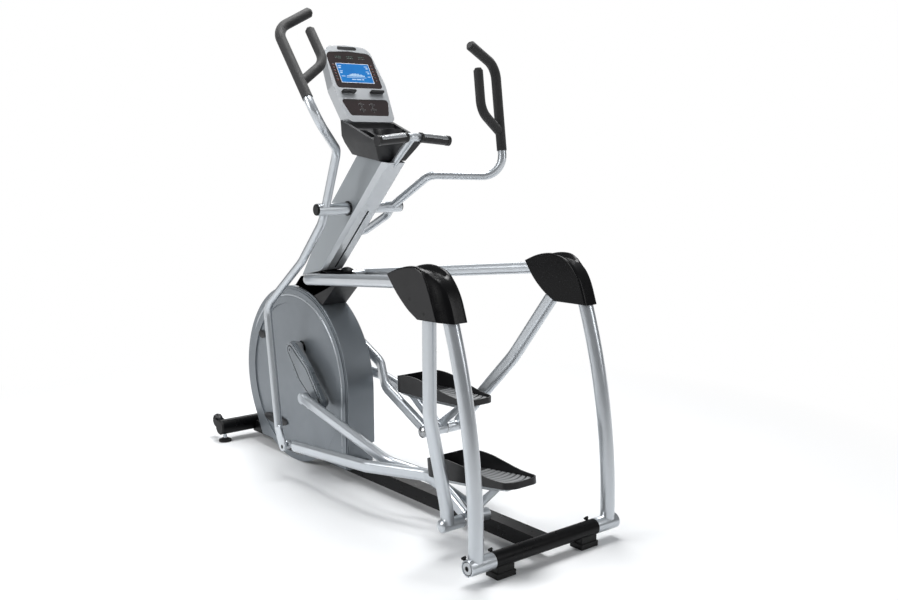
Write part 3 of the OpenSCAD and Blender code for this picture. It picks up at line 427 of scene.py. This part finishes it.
def repaint(piece, finishName, test):
    piece.data.materials.append(finishes[finishName])
    index = len(piece.data.materials) - 1
    for face in piece.data.polygons:
        if test(face.center, face.normal):
            face.material_index = index


toConsole = consolePlane.inverted()
repaint(softPieces["console_bezel"], "blackPlastic",
        lambda at, normal: (toConsole @ at).z > consoleValues["ledgeAbove"])
print("console face dressed")

# the groove in each crank cover gets the dark finish as painted shade in the recess, and the mast's rear
# faces are silver
grooveShadeValues = {"grooveAt": 109, "within": 0.4, "facing": 0.8}
# painted shade: the dark finish on the groove's floor stands in for the shade inside the recess
repaint(softPieces["crank_covers"], "darkPlasticAndGrooveShade",
        lambda at, normal: abs(abs(at.x) * 1000 - grooveShadeValues["grooveAt"]) < grooveShadeValues["within"]
        and abs(normal.x) > grooveShadeValues["facing"])
mastValues = {"rearward": (0, -0.72, -0.69), "facing": 0.45}
repaint(softPieces["mast_cover"], "silverPlastic",
        lambda at, normal: normal.dot(Vector(mastValues["rearward"])) > mastValues["facing"])

# the boot's skin runs from the mast's foot down to the shroud and follows its round top
bootValues = {"half": 56,
              "line": [(1066, 768), (1072, 776), (1120, 792), (1176, 800), (1330, 764), (1372, 724)],
              "wheelAt": (1385, 337), "wheelR": 386.4, "from": 1384, "to": 1084, "steps": 16,
              "slopeFrom": (1066, 768), "slope": 0.9, "edge": 0.006, "edgeSegments": 3, "edgeAngle": 30}


def bootUnderside(values):
    wheelY, wheelZ = values["wheelAt"]
    slopeY, slopeZ = values["slopeFrom"]
    places = []
    for i in range(values["steps"] + 1):
        y = values["from"] + (values["to"] - values["from"]) * i / values["steps"]
        arc = wheelZ + sqrt(values["wheelR"] ** 2 - (y - wheelY) ** 2)
        places.append((y, max(arc, slopeZ - (y - slopeY) * values["slope"])))
    return places


shape = bmesh.new()
outline = bootValues["line"] + bootUnderside(bootValues)
cap = shape.faces.new([shape.verts.new(place(-bootValues["half"], y, z)) for y, z in outline])
for v in pulledOut(shape, [cap]):
    v.co.x = bootValues["half"] / 1000
bmesh.ops.recalc_face_normals(shape, faces=shape.faces)
rounded(shape, bootValues["edgeAngle"], bootValues["edge"], bootValues["edgeSegments"])
flatten(addPiece("bootSkin", shape, ["blackPlastic"], "frame"))
print("mast and boot dressed")

# pedal treads: a pad in the shell's outline, with ribs that sag towards the heel
treadValues = {"toeGap": 12, "ribInset": 10, "ribs": 12, "ribFrom": 84, "ribTo": 404, "groove": 5,
               "sagFrom": 5, "sagTo": 30, "sagGrowth": 1.5, "padBase": 4.1, "padGap": 7.2, "padTop": 9,
               "padSteps": 40, "ribTop": 13.6, "ribSink": 0.3, "ribDrop": 1.3, "ribEdge": 0.07,
               "toeRibs": 3, "across": 28, "floorThick": 4.05, "sideways": 0.01, "downward": -0.5}
pedalValues = {"length": 408, "half": 78, "midY": 183.6, "heelX": 26, "heelY": 366, "heelR": 42,
               "heelReach": 26, "toeX": 34, "toeR": 44}


def pedalHalf(y, inset):
    v = pedalValues
    if y < v["toeR"]:
        return v["toeX"] + sqrt(max(0, (v["toeR"] - inset) ** 2 - (v["toeR"] - y) ** 2))
    if y <= v["midY"]:
        return v["half"] - inset
    if y <= v["heelY"]:
        share = (y - v["midY"]) / (v["heelY"] - v["midY"])
        return v["half"] - inset - (v["half"] - v["heelX"] - v["heelR"]) * share
    return v["heelX"] + sqrt(max(0, (v["heelR"] - inset) ** 2 - (y - v["heelY"]) ** 2))


def heelLimit(x, inset):
    v = pedalValues
    over = max(0, abs(x) - v["heelX"])
    return v["heelY"] + sqrt(max(0, (v["heelR"] - inset) ** 2 - over ** 2))


def pedalPlane(nodeName):
    # the tread's largest downward face gives the slope of the pedal at rest
    node = cadNodes[nodeName]
    areas = {}
    points = [node.matrix_world @ v.co for v in node.data.vertices]
    for face in node.data.polygons:
        a, b, c = (points[i] for i in face.vertices[:3])
        cross = (b - a).cross(c - a)
        facing = cross.normalized()
        if (cross.length and abs(facing.x) < treadValues["sideways"]
                and facing.z < treadValues["downward"]):
            key = (round(facing.y, 3), round(facing.z, 3))
            areas[key] = areas.get(key, 0) + cross.length / 2
    down = max(areas, key=areas.get)
    up = Vector((0, -down[0], -down[1])).normalized()
    heel = Vector((0, -up.z, up.y))
    midX = (min(p.x for p in points) + max(p.x for p in points)) / 2
    start = min(p.dot(heel) for p in points) - treadValues["toeGap"] / 1000
    floorAt = min(p.dot(up) for p in points) - treadValues["floorThick"] / 1000
    turn = Matrix((Vector((-1, 0, 0)), heel, up)).transposed().to_4x4()
    origin = Vector((midX, 0, 0)) + heel * start + up * floorAt
    return Matrix.Translation(origin) @ turn @ Matrix.Scale(0.001, 4)


def ribRows(y0, y1, sag0, sag1):
    values = treadValues
    low, top = values["padTop"] - values["ribSink"], values["ribTop"]
    shoulder, edge, inset = top - values["ribDrop"], values["ribEdge"], values["ribInset"]
    rows = []
    for i in range(values["across"] + 1):
        u = -1 + 2 * i / values["across"]
        row = []
        for share, z in ((0, low), (0, shoulder), (edge, top), (1 - edge, top), (1, shoulder), (1, low)):
            y = y0 + (y1 - y0) * share - (sag0 + (sag1 - sag0) * share) * u * u
            x = u * pedalHalf(min(y, pedalValues["heelY"] + pedalValues["heelReach"]), inset)
            row.append((x, min(y, heelLimit(x, inset)), z))
        rows.append(row)
    return rows


def treadPiece(side):
    values = treadValues
    shape = bmesh.new()
    padLength = pedalValues["length"] - 2 * values["toeGap"]
    steps = [values["toeGap"] + padLength * i / values["padSteps"] for i in range(values["padSteps"] + 1)]
    half = [(pedalHalf(y, values["padGap"]), y) for y in steps]
    outline = half + [(-x, y) for x, y in reversed(half)]
    pad = shape.faces.new([shape.verts.new((x, y, values["padBase"])) for x, y in outline])
    for v in pulledOut(shape, [pad]):
        v.co.z = values["padTop"]
    pitch = (values["ribTo"] - values["ribFrom"]) / values["ribs"]
    sagRange = values["sagTo"] - values["sagFrom"]
    sags = [values["sagFrom"] + sagRange * (i / values["ribs"]) ** values["sagGrowth"]
            for i in range(values["ribs"] + 1)]
    for i in range(values["ribs"]):
        y0 = values["ribFrom"] + pitch * i
        finishIndex = 1 if i >= values["toeRibs"] else 0
        loft(shape, ribRows(y0, y0 + pitch - values["groove"], sags[i], sags[i + 1]), finishIndex)
    bmesh.ops.recalc_face_normals(shape, faces=shape.faces)
    shape.transform(pedalPlane(side + "_tread"))
    return addPiece(side + "TreadRibs", shape, ["darkPlasticAndGrooveShade", "treadGrey"], side + "_pedal",
                    [side + "_tread"])


for side in ("left", "right"):
    flatten(treadPiece(side))
print("treads made")


def turned(name, profile, centre, outward, finishName, body, steps):
    # profile points are (radius, distance outward) in millimetres, turned about the x axis
    shape = bmesh.new()
    corners = [shape.verts.new((outward * out / 1000, radius / 1000, 0)) for radius, out in profile]
    edges = [shape.edges.new(pair) for pair in zip(corners, corners[1:])]
    bmesh.ops.spin(shape, geom=corners + edges, cent=(0, 0, 0), axis=(1, 0, 0), dvec=(0, 0, 0), angle=2 * pi,
                   steps=steps, use_merge=True, use_duplicate=False)
    bmesh.ops.remove_doubles(shape, verts=shape.verts, dist=0.0000005)
    bmesh.ops.recalc_face_normals(shape, faces=shape.faces)
    shape.transform(Matrix.Translation(centre))
    return addPiece(name, shape, [finishName], body)


sleeveValues = {"seat": 319.1, "height": 57, "steps": 40,
                "profile": [(5.6, 0), (5.6, 5.2), (6.4, 6.2), (17.4, 6.2), (19, 5), (19.6, 0), (5.6, 0)]}
for side, outward in (("left", -1), ("right", 1)):
    seat = place(outward * sleeveValues["seat"], 0, sleeveValues["height"])
    turned(side + "SleeveButton", sleeveValues["profile"], seat, outward, "silverPlastic", "frame",
           sleeveValues["steps"])

# blank ovals on the near side of the shroud
badgeValues = {"x": 61.6, "thick": 0.5, "segments": 48, "topLong": 0.985, "topTall": 0.96,
               "ovals": {"lowerBlankOval": (1535, 137, 92, 21), "upperBlankOval": (1636, 484, 26, 17)}}
acrossSide = Matrix(((0, 0, -1), (-1, 0, 0), (0, 1, 0))).to_4x4()
for name, (y, z, halfLong, halfTall) in badgeValues["ovals"].items():
    shape = bmesh.new()
    bmesh.ops.create_circle(shape, cap_ends=True, segments=badgeValues["segments"], radius=1,
                            matrix=Matrix.Diagonal((halfLong / 1000, halfTall / 1000, 1, 1)))
    for v in pulledOut(shape, shape.faces[:]):
        v.co = (v.co.x * badgeValues["topLong"], v.co.y * badgeValues["topTall"],
                badgeValues["thick"] / 1000)
    bmesh.ops.recalc_face_normals(shape, faces=shape.faces)
    shape.transform(Matrix.Translation(place(-badgeValues["x"], y, z)) @ acrossSide)
    addPiece(name, shape, ["darkPlasticAndGrooveShade"], "frame")
print("small pieces made")


# housings over the rear corners: the outline changes from "rear" at the inside to "line" at the panel.
# Each section is (distance outward, share of the change, inset).
housingValues = {
    "line": [(137, 776), (165, 845), (190, 895), (212, 922), (255, 932), (322, 921), (386, 897),
             (338, 843), (287, 800), (235, 772)],
    "rear": [(90, 776), (116, 845), (149, 893), (188, 922), (255, 934), (322, 923), (380, 899),
             (338, 843), (287, 800), (235, 772)],
    "middle": (255, 850), "tip": 6, "steps": 6, "smooth": 50,
    "sections": [(252, 0, 7), (252.8, 0, 3.6), (255, 0, 1.2), (259, 0, 0), (265, 0, 0), (272, 0, 0),
                 (285, 0, 0), (300, 0, 0), (306, 0.02, 0), (311, 0.08, 0), (317, 0.32, 0), (322, 0.6, 0),
                 (327, 0.85, 0), (330.3, 0.98, 0.3), (331.5, 1, 1.6), (331.5, 1, 2.4), (328.6, 1, 2.8),
                 (328.6, 1, 12)],
    "panel": [(328.8, 1, 4.2), (333.4, 1, 4.2), (334.6, 1, 4.8), (335, 1, 6.2)],
    "valley": {"depth": 15, "from": 262, "full": 272, "fullTo": 312, "to": 321, "low": 872, "high": 922},
    "screws": [(268, 832), (200, 794)], "screwSeat": 335, "screwSteps": 24,
    "screwProfile": [(0, -0.6), (2.2, -0.6), (2.4, 0.5), (5.0, 0.5), (5.8, 0), (5.8, -1), (0, -1)]}


def splinePoint(p0, p1, p2, p3, t):
    # Catmull-Rom curve between p1 and p2
    return tuple(0.5 * (2 * b + (c - a) * t + (2 * a - 5 * b + 4 * c - d) * t * t
                        + (3 * b - a - 3 * c + d) * t ** 3) for a, b, c, d in zip(p0, p1, p2, p3))


def splineThrough(points, steps):
    ends = [points[0]] + list(points) + [points[-1]]
    return [splinePoint(*ends[i:i + 4], k / steps) for i in range(len(points) - 1) for k in range(steps)]


def housingOutline(points, tip, steps):
    # the tip and the last corner stay sharp
    top = splineThrough(points[:tip + 1], steps)
    below = splineThrough(points[tip:], steps)
    return top + below + splineThrough([points[-1], points[0]], steps)


def housingLoop(values, mix, inset, x):
    inside = housingOutline(values["rear"], values["tip"], values["steps"])
    outside = housingOutline(values["line"], values["tip"], values["steps"])
    valley = values["valley"]
    entering = (x - valley["from"]) / (valley["full"] - valley["from"])
    leaving = (valley["to"] - x) / (valley["to"] - valley["fullTo"])
    dip = min(max(0, min(entering, leaving)), 1)
    loop = []
    for (ya, za), (yb, zb) in zip(inside, outside):
        y, z = ya + (yb - ya) * mix, za + (zb - za) * mix
        away = Vector((y - values["middle"][0], z - values["middle"][1]))
        y, z = Vector((y, z)) - away.normalized() * inset
        high = min(max(0, (z - valley["low"]) / (valley["high"] - valley["low"])), 1)
        loop.append((y, z - valley["depth"] * dip * dip * (3 - 2 * dip) * high * high))
    return loop


def housingRows(values, sections, outward):
    return [[place(outward * x, y, z) for y, z in housingLoop(values, mix, inset, x)]
            for x, mix, inset in sections]


panels = bmesh.new()
for side, outward in (("left", -1), ("right", 1)):
    shape = bmesh.new()
    loft(shape, housingRows(housingValues, housingValues["sections"], outward))
    bmesh.ops.recalc_face_normals(shape, faces=shape.faces)
    flatten(addPiece(side + "HousingShell", shape, ["deepPlastic"], "frame",
                     [side + "_housing"], housingValues["smooth"]))
    loft(panels, housingRows(housingValues, housingValues["panel"], outward))
    for row, (y, z) in enumerate(housingValues["screws"]):
        turned(side + "PanelScrew" + str(row), housingValues["screwProfile"],
               place(outward * housingValues["screwSeat"], y, z), outward, "rubber", "frame",
               housingValues["screwSteps"])
bmesh.ops.recalc_face_normals(panels, faces=panels.faces)
flatten(addPiece("housingPanelSkins", panels, ["blackPlastic"], "frame", ["housing_panels"],
                 housingValues["smooth"]))
print("housings made")

# a bead runs round each shroud's face and down its rear edge, and tapers at both ends; its lighter grey is a
# painted highlight along the rim
beadValues = {"centre": (1385, 337), "radius": 345, "foot": 62, "x": 61.4, "rise": 3.0, "half": 4.5,
              "start": 28, "steps": 84, "footSteps": 6, "round": 8, "taper": 5, "tip": 0.12, "smooth": 60}


def beadPath(values):
    cy, cz = values["centre"]
    path = []
    for k in range(values["steps"] + 1):
        a = radians(values["start"] + (180 - values["start"]) * k / values["steps"])
        path.append(Vector((cy + values["radius"] * cos(a), cz + values["radius"] * sin(a))))
    for k in range(1, values["footSteps"] + 1):
        path.append(Vector((cy - values["radius"], cz + (values["foot"] - cz) * k / values["footSteps"])))
    return path


def beadRow(values, path, k, outward):
    run = (path[min(k + 1, len(path) - 1)] - path[max(k - 1, 0)]).normalized()
    across = Vector((run.y, -run.x))
    fade = min(1, values["tip"] + min(k, len(path) - 1 - k) / values["taper"])
    row = []
    for j in range(values["round"] + 1):
        turn = pi * j / values["round"]
        at = path[k] + across * values["half"] * fade * cos(turn)
        row.append(place(outward * (values["x"] + values["rise"] * fade * sin(turn)), at.x, at.y))
    return row


for side, outward in (("left", -1), ("right", 1)):
    shape = bmesh.new()
    path = beadPath(beadValues)
    loft(shape, [beadRow(beadValues, path, k, outward) for k in range(len(path))])
    bmesh.ops.recalc_face_normals(shape, faces=shape.faces)
    addPiece(side + "ShroudBead", shape, ["shroudBead"], "frame",
             smooth=beadValues["smooth"])

# a plug sits in the eye at each handle's foot, which is the outermost flat there
plugValues = {"reach": 0.044, "eyeWithin": 0.0006, "steps": 32,
              "profile": [(0, 0.3), (7.5, 0.3), (8.5, -0.4), (8.5, -2), (0, -2)]}
for side, outward in (("left", -1), ("right", 1)):
    handle = cadNodes[side + "_handle"]
    spots = [handle.matrix_world @ v.co for v in handle.data.vertices]
    lowest = min(v.z for v in spots)
    foot = [v for v in spots if v.z < lowest + plugValues["reach"]]
    out = max(outward * v.x for v in foot)
    eye = [v for v in foot if outward * v.x > out - plugValues["eyeWithin"]]
    eyeY = (min(v.y for v in eye) + max(v.y for v in eye)) / 2
    eyeZ = (min(v.z for v in eye) + max(v.z for v in eye)) / 2
    turned(side + "FootPlug", plugValues["profile"], Vector((outward * out, eyeY, eyeZ)), outward, "rubber",
           side + "_handle", plugValues["steps"])
print("beads and plugs made")

cameraValues = {"place": (-2268, -2229, 1329), "yaw": 39.93, "pitch": 8.989, "roll": 0.473, "lens": 42.333,
                "sensor": 36}
cameraData = bpy.data.cameras.new("camera")
cameraData.lens = cameraValues["lens"]
cameraData.sensor_width = cameraValues["sensor"]
camera = bpy.data.objects.new("camera", cameraData)
bpy.context.scene.collection.objects.link(camera)
camera.matrix_world = (Matrix.Translation(place(*cameraValues["place"]))
                       @ Matrix.Rotation(-radians(cameraValues["yaw"]), 4, "Z")
                       @ Matrix.Rotation(radians(90 - cameraValues["pitch"]), 4, "X")
                       @ Matrix.Rotation(radians(cameraValues["roll"]), 4, "Z"))
bpy.context.scene.camera = camera

studioValues = {"floorSize": 40, "floorTone": (0.83, 0.84, 0.85), "plainFrom": 1.25, "plainTo": 2.5,
                "surroundTone": (0.96, 0.98, 1.0), "surroundLow": 0.10, "surroundHigh": 0.36, "highAt": 0.8}
floorMesh = bpy.data.meshes.new("floor")
shape = bmesh.new()
bmesh.ops.create_grid(shape, x_segments=1, y_segments=1, size=studioValues["floorSize"])
shape.to_mesh(floorMesh)
shape.free()
floor = bpy.data.objects.new("floor", floorMesh)
bpy.context.scene.collection.objects.link(floor)
floorFinish, floorTree, floorShader = newFinish("studioFloor", {
    "Base Color": list(studioValues["floorTone"]) + [1], "Roughness": 0.6, "Specular IOR Level": 0.2})
# the paper floor runs out into the plain white surround
floorAt = floorTree.nodes.new("ShaderNodeTexCoord")
floorLength = floorTree.nodes.new("ShaderNodeVectorMath")
floorLength.operation = "LENGTH"
floorTree.links.new(floorAt.outputs["Object"], floorLength.inputs[0])
paper = floorTree.nodes.new("ShaderNodeEmission")
paper.inputs["Color"].default_value = (1, 1, 1, 1)
floorMix = floorTree.nodes.new("ShaderNodeMixShader")
floorTree.links.new(spread(floorTree, floorLength.outputs["Value"], 0, 1, studioValues["plainFrom"],
                           studioValues["plainTo"]), floorMix.inputs[0])
floorTree.links.new(floorShader.outputs[0], floorMix.inputs[1])
floorTree.links.new(paper.outputs[0], floorMix.inputs[2])
floorTree.links.new(floorMix.outputs[0], floorTree.nodes["Material Output"].inputs["Surface"])
floorMesh.materials.append(floorFinish)

# what the camera sees is plain white, and what the pieces mirror is dimmer and lightest overhead
world = bpy.data.worlds.new("studio")
bpy.context.scene.world = world
world.use_nodes = True
sky = world.node_tree
surround = sky.nodes["Background"]
heading = sky.nodes.new("ShaderNodeTexCoord")
split = sky.nodes.new("ShaderNodeSeparateXYZ")
sky.links.new(heading.outputs["Generated"], split.inputs[0])
height = spread(sky, split.outputs["Z"], studioValues["surroundLow"], studioValues["surroundHigh"], 0.0,
                studioValues["highAt"])
sky.links.new(height, surround.inputs["Strength"])
surround.inputs["Color"].default_value = list(studioValues["surroundTone"]) + [1]
backdrop = sky.nodes.new("ShaderNodeBackground")
backdrop.inputs["Color"].default_value = (1, 1, 1, 1)
seen = sky.nodes.new("ShaderNodeLightPath")
skyMix = sky.nodes.new("ShaderNodeMixShader")
sky.links.new(seen.outputs["Is Camera Ray"], skyMix.inputs[0])
sky.links.new(surround.outputs[0], skyMix.inputs[1])
sky.links.new(backdrop.outputs[0], skyMix.inputs[2])
sky.links.new(skyMix.outputs[0], sky.nodes["World Output"].inputs["Surface"])

lightValues = {
    "overheadLight": {"place": (0.3, 0.2, 4.0), "aim": (0, 0, 0), "size": (1.5, 2.0), "power": 165},
    "leftLight": {"place": (-3.4, 0.6, 2.4), "aim": (0, 0.1, 0.8), "size": (1.4, 2.4), "power": 88},
    "rearLight": {"place": (1.6, -3.4, 2.2), "aim": (0, 0, 0.7), "size": (0.8, 2.0), "power": 22},
    "frontLight": {"place": (2.2, 3.2, 2.4), "aim": (0, 0.3, 0.9), "size": (2.0, 1.6), "power": 30},
}
for lightName, values in lightValues.items():
    lightData = bpy.data.lights.new(lightName, "AREA")
    lightData.shape = "RECTANGLE"
    lightData.size, lightData.size_y = values["size"]
    lightData.energy = values["power"]
    light = bpy.data.objects.new(lightName, lightData)
    light.location = values["place"]
    aim = Vector(values["aim"]) - light.location
    light.rotation_euler = aim.to_track_quat("-Z", "Y").to_euler()
    bpy.context.scene.collection.objects.link(light)
bpy.context.scene.view_settings.view_transform = "Standard"
print("studio ready")
